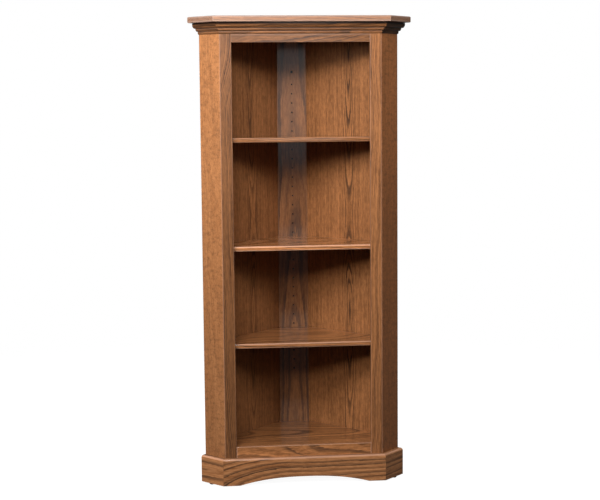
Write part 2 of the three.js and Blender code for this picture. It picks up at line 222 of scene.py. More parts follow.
def drawn_in(outline, inset):
    """The outline with each side moved inwards: a corner moves by the inset over half its turn's cosine."""
    side = np.roll(outline, -1, axis=0) - outline
    side = side / np.linalg.norm(side, axis=1, keepdims=True)
    outward = np.stack([side[:, 1], -side[:, 0]], axis=1)
    before = np.roll(outward, 1, axis=0)
    share = 1 + (outward * before).sum(axis=1, keepdims=True)
    return outline - inset * (outward + before) / share


def eased(outline, radius):
    """Rounds each corner with an arc that touches both its sides.

    The arc's centre lies on the corner's bisector, and its points turn evenly from one touching
    point to the other. A point on each side of the arc marks where the arris's wear and painted
    highlight end. Returns the points and how much of an arris each one is.
    """
    before = np.roll(outline, 1, axis=0) - outline
    after = np.roll(outline, -1, axis=0) - outline
    before = before / np.linalg.norm(before, axis=1, keepdims=True)
    after = after / np.linalg.norm(after, axis=1, keepdims=True)
    half = np.arccos(np.clip((before * after).sum(axis=1), -1, 1))[:, None] / 2
    reach = radius / np.tan(half)
    bisector = before + after
    bisector = bisector / np.linalg.norm(bisector, axis=1, keepdims=True)
    centre = outline + bisector * radius / np.sin(half)
    start = outline + before * reach - centre
    end = outline + after * reach - centre
    sweep = (np.pi - 2 * half)[:, :, None]
    share = np.linspace(0, 1, EASE_STEPS + 1)[None, :, None]
    turned = np.sin((1 - share) * sweep) * start[:, None] + np.sin(share * sweep) * end[:, None]
    arc = centre[:, None] + turned / np.sin(sweep)
    lead = (outline + before * (reach + EASE_MARGIN))[:, None]
    tail = (outline + after * (reach + EASE_MARGIN))[:, None]
    points = np.concatenate([lead, arc, tail], axis=1)
    wear_and_painted_light = np.zeros(points.shape[:2])
    wear_and_painted_light[:, 1:-1] = 1
    return points.reshape(-1, 2), wear_and_painted_light.ravel()


# Surfaces


def skin(rings):
    """Quads between rings of points, each ring closed, and one face across each of the two end rings."""
    rows, count = rings.shape[:2]
    index = np.arange(rows * count).reshape(rows, count)
    onward = np.roll(index, -1, axis=1)
    quads = np.stack([index[:-1], onward[:-1], onward[1:], index[1:]], axis=-1)
    return quads, [index[0][::-1].tolist(), index[-1].tolist()]


def signed_volume(points, faces):
    """The volume that faces close round, from the origin's tetrahedra: negative where they point inwards."""
    total = 0.0
    for face in faces:
        corners = points[face]
        total += (np.cross(corners[1:-1], corners[2:]) @ corners[0]).sum()
    return total / 6


def make_piece(node, points, faces, wear_and_painted_light, material, body="case"):
    """Makes a mesh, turned outwards, that stands for a CAD node and rides on its body.

    It has the node's name, in which a crown is called a cornice.
    """
    if signed_volume(points, faces) < 0:
        faces = [face[::-1] for face in faces]
    name = node.replace("crown", "cornice").title()
    mesh = bpy.data.meshes.new(name)
    mesh.from_pydata((points + [0, FRONT_Y, 0]).tolist(), [], faces)
    # The arris attribute: above nought, wear and painted highlight; below nought, painted shade
    mesh.attributes.new("arris", "FLOAT", "POINT").data.foreach_set("value", wear_and_painted_light.astype(np.float32))
    mesh.polygons.foreach_set("use_smooth", np.ones(len(faces), dtype=bool))
    mesh.set_sharp_from_angle(angle=SMOOTH_ANGLE)
    mesh.update()
    made = bpy.data.objects.new(name, mesh)
    bpy.context.scene.collection.objects.link(made)
    mesh.materials.append(material)
    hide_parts(node)
    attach(made, body)


def make_from_rings(node, rings, wear_and_painted_light, material, body="case"):
    """Makes a piece whose skin runs from ring to ring, with the wear and painted light of each ring's points.
    """
    quads, caps = skin(rings)
    faces = quads.reshape(-1, 4).tolist() + caps
    wear_and_painted_light = np.broadcast_to(wear_and_painted_light, rings.shape[:2]).ravel()
    make_piece(node, rings.reshape(-1, 3), faces, wear_and_painted_light, material, body)


def edge_rounds(low, high, radius, margin):
    """Insets and heights of a board's rings, from its underside round its edge to its top.

    Each quarter round goes in as one less a sine and up as one less a cosine, with a flat side between
    the two. The first and last rings lie on the flat faces, where the edges' wear and painted highlight end.
    """
    turn = np.linspace(0, np.pi / 2, QUARTER_POINTS)
    inset = radius * (1 - np.sin(turn))
    rise = radius * (1 - np.cos(turn))
    within = [radius + EASE_MARGIN]
    insets = np.concatenate([within, inset, [0, 0], inset[::-1], within])
    middle = [low + radius + margin, high - radius - margin]
    heights = np.concatenate([[low], low + rise, middle, high - rise[::-1], [high]])
    return insets, heights


def edge_wear_and_highlight(rounded, side):
    """Wear and painted highlight of a board's rings, from those of a quarter round's points and of its side.
    """
    return np.concatenate([[0], rounded, [side, side], rounded, [0]])


def board_rings(outline, low, high, radius, corner, side_wear_and_highlight=0.0):
    """Rings of a flat board: the outline drawn in along its edges, with its upright corners eased."""
    insets, heights = edge_rounds(low, high, radius, min(EASE_MARGIN, (high - low) / 4))
    # Its rounded edges, and its sides where asked, carry wear and painted highlight
    edge = edge_wear_and_highlight(np.ones(QUARTER_POINTS), side_wear_and_highlight)
    rings = []
    wear_and_painted_light_level = []
    for inset, height, edge_here in zip(insets, heights, edge):
        points, wear_and_painted_light = eased(drawn_in(outline, inset), corner)
        rings.append(np.column_stack([points, np.full(len(points), height)]))
        wear_and_painted_light_level.append(np.maximum(wear_and_painted_light * (inset <= radius), edge_here))
    return np.array(rings), np.array(wear_and_painted_light_level)


def shelf_rings(low, high, radius):
    """Rings of a shelf, whose front edge alone is rounded: its insets move only the front of its plan.

    Each round's wear and painted highlight are strongest halfway, as a sine.
    """
    insets, heights = edge_rounds(low, high, radius, SHELF_MARGIN)
    edge = edge_wear_and_highlight(np.sin(np.linspace(0, np.pi, QUARTER_POINTS)) * 0.8 + 0.2, 0)
    rings = []
    wear_and_painted_light_level = []
    for inset, height, edge_here in zip(insets, heights, edge):
        front = BOARD + SHELF_CLEARANCE + inset
        outline = counter_clockwise(inside_outline(front, SHELF_CLEARANCE))
        points, wear_and_painted_light = eased(outline, SHELF_CORNER)
        rings.append(np.column_stack([points, np.full(len(points), height)]))
        side = wear_and_painted_light * (SHELF_SIDE_WEAR_AND_HIGHLIGHT if inset <= radius else 0)
        wear_and_painted_light_level.append(np.where(points[:, 1] < front + SHELF_FRONT_REACH, edge_here, side))
    return np.array(rings), np.array(wear_and_painted_light_level)


def hole_cells(centres, radius, depth, face_point, face_side, inward):
    """Round holes in a flat face: each patch runs from a square to its circle, over a small bevel and down.

    A square's side points stand at the tangents of even angles, so those of the circle are evenly
    spaced. Depth is measured along inward, and face_side is the level direction along the face.
    """
    turns = HOLE_STATIONS[:-1]
    full = np.full(HOLE_SIDE_STEPS, HOLE_CELL)
    across = np.concatenate([turns, full, -turns, -full])
    up = np.concatenate([-full, turns, full, -turns])
    square = np.stack([across, up], axis=1)
    circle = square / np.linalg.norm(square, axis=1, keepdims=True)
    # The last two stops, past the lip, are marked for painted shade
    stops = [
        (square, 0.0, 0.0),
        (circle * (radius + HOLE_BEVEL + HOLE_RIM), 0.0, 0.0),
        (circle * (radius + HOLE_BEVEL), 0.0, 0.0),
        (circle * radius, HOLE_BEVEL, 0.0),
        (circle * radius, HOLE_BEVEL + HOLE_LIP_ABOVE_SHADE, -1.0),
        (circle * radius, depth, -1.0),
    ]
    rings = []
    for flat, down, _ in stops:
        rings.append(face_point + flat[:, :1] * face_side + down * inward + flat[:, 1:] * [0, 0, 1])
    rings = np.array(rings)[None] + np.array(centres)[:, None, None, None] * [0, 0, 1]
    wear_and_painted_light = np.array([wear_and_painted_light_level for _, _, wear_and_painted_light_level in stops])[None, :, None] * np.ones(rings.shape[:3])
    index = np.arange(wear_and_painted_light.size).reshape(wear_and_painted_light.shape)
    onward = np.roll(index, -1, axis=2)
    quads = np.stack([index[:, :-1], onward[:, :-1], onward[:, 1:], index[:, 1:]], axis=-1)
    floors = index[:, -1]
    return rings.reshape(-1, 3), wear_and_painted_light.ravel(), quads.reshape(-1, 4).tolist() + floors.tolist()


def welded(points, wear_and_painted_light, faces):
    """Joins points that lie at the same place, and renumbers the faces."""
    key = np.round(points / WELD_GRID).astype(np.int64)
    _, first, number = np.unique(key, axis=0, return_index=True, return_inverse=True)
    number = number.ravel()
    return points[first], wear_and_painted_light[first], [number[face].tolist() for face in faces]


def drilled_upright(outline, drilled_side, radius, centre, holes):
    """An upright board of the case's height with a column of round holes in one side of its plan.

    The plan's outline is carried up through rows that fit the holes' squares. Quads in those squares
    give way to the holes' patches. holes holds (height, radius, depth). Returns points, faces and each
    point's wear and painted light.
    """
    start = outline[drilled_side]
    end = outline[(drilled_side + 1) % len(outline)]
    side = (end - start) / np.linalg.norm(end - start)
    inward = np.array([-side[1], side[0], 0])
    middle = np.dot(centre - start, side)
    plan, plan_worn = eased(outline, radius)
    per_corner = EASE_STEPS + 3
    after = (drilled_side + 1) * per_corner
    columns = start + side * (middle + HOLE_STATIONS)[:, None]
    plan = np.insert(plan, after, columns, axis=0)
    plan_worn = np.insert(plan_worn, after, np.zeros(len(columns)))
    heights = np.sort(np.array([hole[0] for hole in holes]))
    cell_rows = heights[:, None] + HOLE_STATIONS
    foot = [CASE_BOTTOM, CASE_BOTTOM + radius, CASE_BOTTOM + radius + EASE_MARGIN]
    head = [CASE_TOP - radius - EASE_MARGIN, CASE_TOP - radius, CASE_TOP]
    levels = np.concatenate([foot, cell_rows.ravel(), head])
    rings = np.empty((len(levels), len(plan), 3))
    rings[..., :2] = plan
    rings[..., 2] = levels[:, None]
    quads, caps = skin(rings)
    kept = np.ones(quads.shape[:2], dtype=bool)
    for cell in range(len(heights)):
        row = len(foot) + cell * len(HOLE_STATIONS)
        kept[row : row + HOLE_SIDE_STEPS, after : after + HOLE_SIDE_STEPS] = False
    points = [rings.reshape(-1, 3)]
    wear_and_painted_light = [np.tile(plan_worn, len(levels))]
    faces = quads[kept].tolist() + caps
    level_side = np.array([*side, 0])
    face_point = np.array([*(start + side * middle), 0])
    for hole_radius, depth in sorted({(hole[1], hole[2]) for hole in holes}):
        centres = [hole[0] for hole in holes if hole[1:] == (hole_radius, depth)]
        cell_points, cell_worn, cell_faces = hole_cells(
            centres, hole_radius, depth, face_point, level_side, inward
        )
        shift = sum(len(block) for block in points)
        points.append(cell_points)
        wear_and_painted_light.append(cell_worn)
        faces += [[corner + shift for corner in face] for face in cell_faces]
    points, wear_and_painted_light, faces = welded(np.concatenate(points), np.concatenate(wear_and_painted_light), faces)
    return points, faces, wear_and_painted_light


def moulding_rings(profile, leg, bottom, stations=2):
    """Carries a profile of (projection, height) along one leg of the moulding line, mitred at the corners."""
    lines = np.array([moulding_line(projection) for projection, _ in profile])
    start = lines[:, leg]
    end = lines[:, leg + 1]
    step = (end - start) / np.linalg.norm(end - start, axis=1, keepdims=True)
    trim = GLUE_LINE / 2 * (1 + MITRE)
    start = start + step * (trim if leg > 0 else 0)
    end = end - step * (trim if leg < 2 else 0)
    share = np.linspace(0, 1, stations)[:, None, None]
    plan = start + (end - start) * share
    height = np.broadcast_to(bottom + profile[:, 1], plan.shape[:2])
    return np.concatenate([plan, height[..., None]], axis=-1)


def crown_profile():
    """Three quarter rounds, each swelling outwards as a sine while it rises as one less a cosine."""
    turn = np.linspace(0, np.pi / 2, ARC_STEPS + 1)
    points = [[GLUE_LINE, 0.0]]
    wear_and_painted_light = [0.0]
    for step in CROWN_STEPS:
        outer, top, wear_and_painted_light_level = step["outer"], step["top"], step["wear_and_painted_light_level"]
        across = step["inner"] + (outer - step["inner"]) * np.sin(turn)
        up = step["bottom"] + (step["round_top"] - step["bottom"]) * (1 - np.cos(turn))
        points += np.stack([across, up], axis=1).tolist()
        # Painted shade on each round's foot, which faces down, and painted highlight on its upper edge
        stain = step["stain"] * np.clip(1 - turn / FOOT_SHADE_REACH, 0, 1)
        wear_and_painted_light += (wear_and_painted_light_level * 0.5 * np.sin(turn) ** 6 - stain).tolist()
        points += [[outer, top - CROWN_ARRIS], [outer - CROWN_ARRIS, top]]
        wear_and_painted_light += [wear_and_painted_light_level] * 2
    points.append([GLUE_LINE, CROWN_STEPS[-1]["top"]])
    return np.array(points), np.array(wear_and_painted_light + [0.0])


def base_profile(height):
    """A flat face, a quarter round that goes in as one less a cosine, and the wear and painted highlight of
    each point.
    """
    turn = np.linspace(0, np.pi / 2, ARC_STEPS + 1)
    across = BASE_DEPTH - BASE_RADIUS * (1 - np.cos(turn))
    up = height - BASE_RADIUS * (1 - np.sin(turn))
    face = [[BASE_DEPTH, rise] for rise in (0.0, BASE_FOOT_STRIP, height - BASE_RADIUS - BASE_MARGIN)]
    arc = np.stack([across, up], axis=1)
    profile = np.concatenate([[[GLUE_LINE, 0.0]], face, arc, [[GLUE_LINE, height]]])
    # Paler along the bottom arris, and a painted highlight along the upper part of the round
    wear_and_painted_light = np.concatenate([[0, 0.6, 0, 0], np.sin(turn) ** 2 * np.cos(turn * 0.9) * 2, [0]])
    return profile, wear_and_painted_light


def arch_height(x):
    """The arch over the floor: it falls from its rise as the share of the way to its end, to a power."""
    share = np.minimum(np.abs(x) / ARCH_HALF_SPAN, 1)
    return ARCH_RISE * (1 - share**ARCH_POWER)


# Shader arithmetic


class Field:
    """A number that the shader works out over the surface: arithmetic on it adds Math nodes."""

    def __init__(self, shader, socket):
        self.shader = shader
        self.socket = socket

    def _math(self, operation, *operands):
        sockets = dict(enumerate(operands))
        return self.shader.node("ShaderNodeMath", {"operation": operation}, sockets)

    def __add__(self, other):
        return self._math("ADD", self, other)

    def __sub__(self, other):
        return self._math("SUBTRACT", self, other)

    def __rsub__(self, other):
        return self._math("SUBTRACT", other, self)

    def __mul__(self, other):
        return self._math("MULTIPLY", self, other)

    def __truediv__(self, other):
        return self._math("DIVIDE", self, other)

    __radd__ = __add__
    __rmul__ = __mul__

    def root(self):
        return self._math("SQRT", self)

    def whole(self):
        return self._math("FLOOR", self)

    def part(self):
        return self._math("FRACT", self)

    def size(self):
        return self._math("ABSOLUTE", self)

    def ramp(self, start, end, low=0.0, high=1.0):
        """Smoothly from low to high while the field goes from start to end."""
        settings = {"interpolation_type": "SMOOTHSTEP"}
        sockets = {"Value": self, 1: start, 2: end, 3: low, 4: high}
        return self.shader.node("ShaderNodeMapRange", settings, sockets)


class Shader:
    """A material's nodes, made one call at a time."""

    def __init__(self, name):
        self.material = bpy.data.materials.new(name)
        self.material.use_nodes = True
        self.tree = self.material.node_tree
        self.tree.nodes.clear()

    def node(self, kind, settings=None, sockets=None, output=0):
        """Adds a node: its settings first, then its sockets' values or links. Returns one of its outputs."""
        made = self.tree.nodes.new(kind)
        for key, value in (settings or {}).items():
            setattr(made, key, value)
        for key, value in (sockets or {}).items():
            if isinstance(value, Field):
                self.tree.links.new(value.socket, made.inputs[key])
            else:
                made.inputs[key].default_value = value
        return Field(self, made.outputs[output]) if made.outputs else None

    def object_place(self):
        return self.node("ShaderNodeTexCoord", output=3)

    def vector(self, x, y, z):
        return self.node("ShaderNodeCombineXYZ", None, {0: x, 1: y, 2: z})

    def mix(self, factor, first, second):
        """One colour turning into another."""
        return self.node("ShaderNodeMix", {"data_type": "RGBA"}, {0: factor, 6: first, 7: second}, output=2)

    def noise(self, place, scale, detail=2.0, roughness=0.5):
        sockets = {"Vector": place, "Scale": scale, "Detail": detail, "Roughness": roughness}
        return self.node("ShaderNodeTexNoise", None, sockets)

    def marks(self, across, depth, along, kind):
        """Noise drawn out along a board's grain, of one of the kinds of marks named below."""
        scale, stretch, detail, roughness = kind
        return self.noise(self.vector(across, depth, along * stretch), scale, detail, roughness)

    def line(self, place, detail, roughness=0.5):
        """Noise along a line, with a bend about every unit."""
        settings = {"noise_dimensions": "1D"}
        sockets = {"W": place, "Scale": 1.0, "Detail": detail, "Roughness": roughness}
        return self.node("ShaderNodeTexNoise", settings, sockets)

    def bump(self, height, strength, distance):
        sockets = {"Strength": strength, "Distance": distance, "Height": height}
        return self.node("ShaderNodeBump", None, sockets)

    def principled(self, sockets):
        return self.node("ShaderNodeBsdfPrincipled", None, sockets)

    def surface(self, shader_output):
        """Ends the material's nodes, and returns the material."""
        self.node("ShaderNodeOutputMaterial", None, {"Surface": shader_output})
        return self.material


def colour(rgb):
    return (*rgb, 1.0)


# A board's grain says which of its own directions is across its face, into the board and along the grain
UPRIGHT = (0, 1, 2)
LEVEL = (2, 1, 0)
FLAT = (1, 2, 0)

# The stain's tints, each to be multiplied by how much light it gives back
LIGHT_TINT = (1.84, 0.82, 0.33)
WARM_TINT = (1.95, 0.79, 0.28)
DEEP_TINT = (2.12, 0.75, 0.23)
# Colour of the wear and painted highlight on arrises
WEAR_AND_HIGHLIGHT_TINT = (1.62, 0.87, 0.55)
DARK_TINT = (1.81, 0.82, 0.42)
GREY_TINT = (1.55, 0.86, 0.72)
MAUVE_TINT = (1.78, 0.81, 0.52)
# The pale, greyish painted highlight on the top board's edges
TOP_HIGHLIGHT_TINT = (1.36, 0.90, 0.70)

# The wood's marks: cells a metre across the grain, their share along it, detail and roughness
WANDER = (26.0, 0.22, 2.0, 0.5)
RAGGED_EDGE = (330.0, 0.06, 2.0, 0.7)
PATCH = (30.0, 0.2, 1.0, 0.5)
FIBRE = (900.0, 0.018, 2.0, 0.6)
GRAIN = (160.0, 0.2, 3.0, 0.7)
STREAK = (120.0, 0.035, 3.0, 0.65)
CLOUD = (9.0, 0.3, 3.0, 0.5)
TICK = (330.0, 0.42, 2.0, 0.7)
PORE_SCALE = 1500.0
PORE_STRETCH = 0.06
MOTTLE_SCALE = 70.0

# How a board is cut, stained and coated where it says nothing else. Each also gives its tone (how light
# its wood takes the stain), its grain, a seed, and pith, where the middle of the tree lies across and
# behind its middle. Some have a dive (from, to and how far the tree's middle moves away on that stretch
# of the grain), a focus (how far from the middle of the tree the bands stay dark), ticks (short dark
# flecks), painted shade towards the foot or the back, or a strip of painted highlight above a height.
OAK = dict(
    turn=0,  # plan angle of its face, in degrees
    middle=0.0,  # its middle, across the face
    depth=0.0,  # where its face lies, into the board
    lean=0.03,  # how much the tree leaned into the board for each metre
    slant=0.0,  # and across it
    dip=0.02,  # how far the tree bent into the board
    sway=0.03,  # and across it
    rings=0.006,  # how far apart its years are
    growth=130.0,  # how often good and poor years change, for each metre of the tree's radius
    uneven=0.004,  # and how much that widens and narrows them
    ragged=0.5,  # how ragged the bands of pores are, in years
    width=0.34,  # how wide they are, in years
    even=0.3,  # how alike they are
    contrast=1.0,  # how dark they are
    spread=0.75,  # how far its streaks part from its tone
    stripes=1.0,  # how strong they are
    heart=0.25,  # how many of them are dark
    tint=WARM_TINT,
    dark_tint=DARK_TINT,
    # colour of the wear and painted highlight on its arrises
    wear_and_highlight_tint=WEAR_AND_HIGHLIGHT_TINT,
    # the darkening towards the foot is painted shade
    foot_shade_range=(1.5, 0.2),  # heights over which it darkens towards the foot
    # wear and painted highlight on its arrises:
    wear_and_painted_light_level=0.35,  # how pale its arrises are
    dull=0.0,  # how much rougher than satin it is
    coat=0.7,  # how much topcoat it has
    sheen=0.16,  # and how rough that is
)


def split_axes(shader, vector, turn):
    """The three parts of a vector in a board's own directions: turned in plan against the board's angle."""
    sockets = {"Vector": vector, "Rotation": (0, 0, -math.radians(turn))}
    turned = shader.node("ShaderNodeMapping", None, sockets)
    parts = shader.tree.nodes.new("ShaderNodeSeparateXYZ")
    shader.tree.links.new(turned.socket, parts.inputs[0])
    return [Field(shader, output) for output in parts.outputs]


def stained(tone, share, tint):
    """The stain's colour on wood of a given tone: its tint times the light it gives back."""
    return colour([channel * tone * share for channel in tint])


def year_bands(shader, board, across, depth, along):
    """The run of good and poor years that a board cuts, and how dark its bands of open pores are.

    A year's ring lies at an even distance from the tree's middle line, which bends and leans away
    from the board, so a face shows long arches near that line and straight grain beside it. Each
    year starts with a ragged band of open pores, where the stain is darkest.
    """
    seed = board["seed"]
    deep = depth + seed
    wander = shader.marks(across * 1.2, deep, along, WANDER) - 0.5
    ragged = shader.marks(across, deep, along, RAGGED_EDGE) - 0.5
    sway = shader.line(along * 1.6 + seed, 1.0) - 0.5
    dip = shader.line(along * 3.0 + seed * 1.7, 1.0) - 0.5
    side = across - board["pith"][0] + along * board["slant"] + sway * board["sway"] + wander * 0.006
    far = depth + board["pith"][1] + along * board["lean"] + dip * board["dip"]
    if "dive" in board:
        start, end, rise = board["dive"]
        far = far + along.ramp(start, end, 0.0, rise)
    radius = (side * side + far * far).root() + wander * 0.003
    growth = shader.line(radius * board["growth"] + seed * 3.1, 3.0, 0.65)
    years = (radius + growth * board["uneven"]) / board["rings"] + ragged * board["ragged"]
    into = years.part()
    chance = shader.node("ShaderNodeTexWhiteNoise", {"noise_dimensions": "1D"}, {"W": years.whole() + seed})
    patch = shader.marks(across, deep, along, PATCH)
    even = board["even"]
    band = into.ramp(0.0, 0.07) * (1 - into.ramp(0.12, 0.12 + board["width"]))
    band = band * (even + chance * (1 - even)) * patch.ramp(0.25, 0.5, even + 0.15, 1.0)
    if "focus" in board:
        band = band * side.size().ramp(board["focus"] * 0.3, board["focus"], 1.0, 0.3)
    return growth, band


def oak(name, board):
    """Stained red oak with the rings of a real board, its open pores and a satin topcoat."""
    board = OAK | board
    shader = Shader(name)
    own = split_axes(shader, shader.object_place(), board["turn"])
    across, depth, along = (own[axis] for axis in board["grain"])
    seed = board["seed"]
    across = across - board["middle"]
    depth = depth - board["depth"]
    deep = depth + seed
    growth, band = year_bands(shader, board, across, depth, along)
    fibre = shader.marks(across, depth, along, FIBRE)
    grain = shader.marks(across, deep, along, GRAIN)
    streak = shader.marks(across + seed, depth, along, STREAK)
    cloud = shader.marks(across, deep, along, CLOUD)
    pore = shader.noise(shader.vector(across, depth, along * PORE_STRETCH + seed), PORE_SCALE, 1.0)
    pores = pore.ramp(0.58, 0.72) * (0.25 + band * 0.75)

    # The stain on the wood's streaks, bands and pores
    tone = board["tone"]
    spread = board["spread"]
    dark = stained(tone, 0.17, board["dark_tint"])
    # Painted shade, towards the foot and the back
    painted_shade = stained(tone, 0.2, DEEP_TINT)
    stripes = growth.ramp(0.35, 0.65) + streak.ramp(0.35, 0.65) - 1
    shade = stripes * (0.3 * board["stripes"]) + 0.3
    shade = shade + cloud.ramp(0.32, 0.68) * 0.12 + grain.ramp(0.35, 0.65) * 0.28
    pale = stained(tone, 1.2 + spread, board["tint"])
    body = shader.mix(shade, stained(tone, 1.2 - spread, DEEP_TINT), pale)
    body = shader.mix(streak.ramp(0.50, 0.74) * board["heart"], body, dark)
    if "ticks" in board:
        tick = shader.marks(across + along * 0.1, deep, along, TICK)
        mottle = shader.noise(shader.vector(across * 0.5, deep, along), MOTTLE_SCALE, 3.0, 0.6)
        body = shader.mix(tick.ramp(0.5, 0.75) * board["ticks"], body, dark)
        body = shader.mix(mottle.ramp(0.42, 0.75) * (board["ticks"] * 0.6), body, dark)
    body = shader.mix(band * 0.95 * board["contrast"], body, dark)
    body = shader.mix(pores * 0.5 * board["contrast"], body, stained(tone, 0.15, DARK_TINT))
    # Painted shade: darker towards the foot, and a flat board darker towards its back
    if "foot" in board:
        start, end = board["foot_shade_range"]
        body = shader.mix(along.ramp(start, end, 0.0, board["foot"]), body, painted_shade)
    if "back" in board:
        body = shader.mix(across.ramp(-0.11, 0.06, 0.0, board["back"]), body, painted_shade)

    # End grain drinks the stain; arrises are paler with wear and painted highlight, and painted shade lies
    # where the arris is below nought
    facing = split_axes(shader, shader.node("ShaderNodeTexCoord", output=1), board["turn"])
    end_grain = facing[board["grain"][2]].size().ramp(0.35, 0.95)
    body = shader.mix(end_grain * 0.55, body, dark)
    wear_and_painted_light = shader.node("ShaderNodeAttribute", {"attribute_name": "arris"}, output=2)
    # Wear and painted highlight on the arrises
    wear_and_painted_light_level = wear_and_painted_light.ramp(0.0, 1.0) * (0.6 + streak * 0.8) * board["wear_and_painted_light_level"]
    # A strip of painted highlight just below the cornice
    if "rubbed_above" in board:
        wear_and_painted_light_level = wear_and_painted_light_level + across.ramp(board["rubbed_above"], board["rubbed_above"] + 0.002) * 0.45
    body = shader.mix(wear_and_painted_light_level, body, stained(tone, 1.9, board["wear_and_highlight_tint"]))
    # Painted shade where the arris is below nought: in holes, on the crown's undersides and under the top
    # board
    body = shader.mix((0 - wear_and_painted_light).ramp(0.1, 0.6), body, stained(tone, 0.08, DARK_TINT))

    height = (1 - pores) * 0.6 + (1 - band) * 0.3 + fibre * 0.1
    sockets = {
        "Base Color": body,
        "Roughness": 0.34 + fibre * 0.08 + band * 0.10 + pores * 0.15 + cloud * 0.06 + board["dull"],
        "Normal": shader.bump(height, 0.35, 0.0003),
        "IOR": 1.35,
        "Coat Weight": board["coat"],
        "Coat Roughness": board["sheen"],
    }
    return shader.surface(shader.principled(sockets))


def raw_wood(name):
    """Unfinished softwood of the hidden cleats and dowels: pale, with soft streaks along the grain."""
    shader = Shader(name)
    place = shader.object_place()
    streaks = shader.node("ShaderNodeMapping", None, {"Vector": place, "Scale": (1.0, 6.0, 6.0)})
    grain = shader.noise(streaks, 60.0, 3.0)
    body = shader.mix(grain.ramp(0.3, 0.7), colour(linear(178, 138, 92)), colour(linear(206, 172, 124)))
    bump = shader.bump(grain, 0.2, 0.0003)
    sockets = {"Base Color": body, "Roughness": 0.55 + grain * 0.2, "Normal": bump}
    return shader.surface(shader.principled(sockets))


def steel(name, shade, scratch):
    """Plated steel with fine drawing marks and a slight cloudiness."""
    shader = Shader(name)
    place = shader.object_place()
    marks = shader.node("ShaderNodeMapping", None, {"Vector": place, "Scale": (1.0, 1.0, 9.0)})
    fine = shader.noise(marks, scratch, 2.0)
    cloud = shader.noise(place, 220.0, 2.0)
    body = shader.mix(cloud, colour([channel * 0.8 for channel in shade]), colour(shade))
    bump = shader.bump(fine, 0.15, 0.0001)
    sockets = {"Base Color": body, "Metallic": 1.0, "Roughness": 0.24 + fine * 0.2, "Normal": bump}
    return shader.surface(shader.principled(sockets))


def plastic(name):
    """Dark moulded plastic of the glides, scuffed where it slides."""
    shader = Shader(name)
    scuff = shader.noise(shader.object_place(), 400.0, 3.0)
    body = shader.mix(scuff.ramp(0.45, 0.8), colour(linear(34, 28, 25)), colour(linear(84, 74, 66)))
    bump = shader.bump(scuff, 0.2, 0.0002)
    sockets = {"Base Color": body, "Roughness": 0.4 + scuff * 0.25, "Normal": bump}
    return shader.surface(shader.principled(sockets))


# What sets each board apart from the others of its kind
RETURN_WOODS = {
    # The returns' darkening towards the foot is painted shade, as is the right return's lower tone
    "left": dict(tone=0.180, tint=(1.88, 0.81, 0.31), foot=0.2),
    "right": dict(tone=0.136, tint=(2.06, 0.76, 0.25), foot=0.3, foot_shade_range=(1.45, 0.85)),
}
STILE_WOODS = {"left": dict(tone=0.078, dive=(1.40, 1.74, -0.07)), "right": dict(tone=0.130)}
RAIL_WOODS = {
    "top": dict(tone=0.078, seed=17.0, slant=-0.25, dark_tint=GREY_TINT, wear_and_painted_light_level=0.3),
    "bottom": dict(tone=0.138, seed=20.0, heart=0.5, even=0.6, wear_and_painted_light_level=1.0),
}
SHELF_WOODS = {
    "upper": dict(tone=0.115, wear_and_painted_light_level=0.4),
    "middle": dict(tone=0.195, wear_and_painted_light_level=1.0),
    "lower": dict(tone=0.13, wear_and_painted_light_level=0.9),
}
CROWN_WOODS = {
    "left": dict(tone=0.088, wear_and_painted_light_level=0.8),
    "front": dict(tone=0.10, wear_and_painted_light_level=0.9),
    # The right leg's very low tone is a painted shadow of the top board's overhang
    "right": dict(tone=0.025, wear_and_painted_light_level=0.45),
}
PANEL_WOODS = {
    # The panels' darkening towards the foot is painted shade
    "left": dict(turn=RIGHT_TURN, seed=51.0, middle=-0.0514, tone=0.112, contrast=0.85, foot=0.25),
    "right": dict(turn=LEFT_TURN, seed=57.3, middle=0.1074, tone=0.119, contrast=1.0, foot=0.05),
}
LEFT_BASE_FACE = (FRONT_Y - HALF_FRONT - BASE_DEPTH * (1 + MITRE)) * ROOT_HALF
BASE_WOODS = {
    "left": dict(tone=0.19, pith=(0.05, 0.02), depth=LEFT_BASE_FACE, lean=0.10, dip=0.0, rings=0.03),
    "front": dict(pith=(-0.035, 0.075), dive=(-0.40, -0.08, 0.055), lean=0.05, sway=0.01, rings=0.0165),
    "right": dict(pith=(-0.08, 0.05), lean=0.05, rings=0.010, even=0.5, heart=0.6),
}


class UnitSizes(bpy.types.PropertyGroup):
    """Sizes of the visible edges."""

    ease: FloatProperty(
        name="Eased arris",
        description="Radius sanded on the edges of stiles, rails and returns",
        default=0.0009,
        unit="LENGTH",
    )
    top_edge: FloatProperty(
        name="Top edge radius",
        description="Radius of the top board's upper and lower edges",
        default=0.004,
        unit="LENGTH",
    )
    shelf_edge: FloatProperty(
        name="Shelf edge radius",
        description="Radius of each shelf's front edges",
        default=0.005,
        unit="LENGTH",
    )


class UnitLight(bpy.types.PropertyGroup):
    """Strengths of the studio's lights."""

    key: FloatProperty(
        name="Key light", description="Power of the far light on the left", default=138.0, unit="POWER"
    )
    upper: FloatProperty(
        name="Upper light", description="Power of the near light above the unit", default=59.0, unit="POWER"
    )
    right: FloatProperty(
        name="Right light", description="Power of the far light on the right", default=78.0, unit="POWER"
    )
    side: FloatProperty(
        name="Side light", description="Power of the near light on the left", default=27.0, unit="POWER"
    )
    rear: FloatProperty(
        name="Rear lights", description="Power of each light behind the unit", default=90.0, unit="POWER"
    )
    card: FloatProperty(
        name="Card", description="Power of the pale card that the topcoat shows", default=3.0, unit="POWER"
    )
    room: FloatProperty(
        name="Room light", description="Brightness of the walls around the unit", default=0.025
    )
    gloss: FloatProperty(
        name="Room in the gloss", description="Brightness of the walls in the topcoat", default=0.08
    )


def sizes():
    return bpy.context.scene.corner_unit_sizes


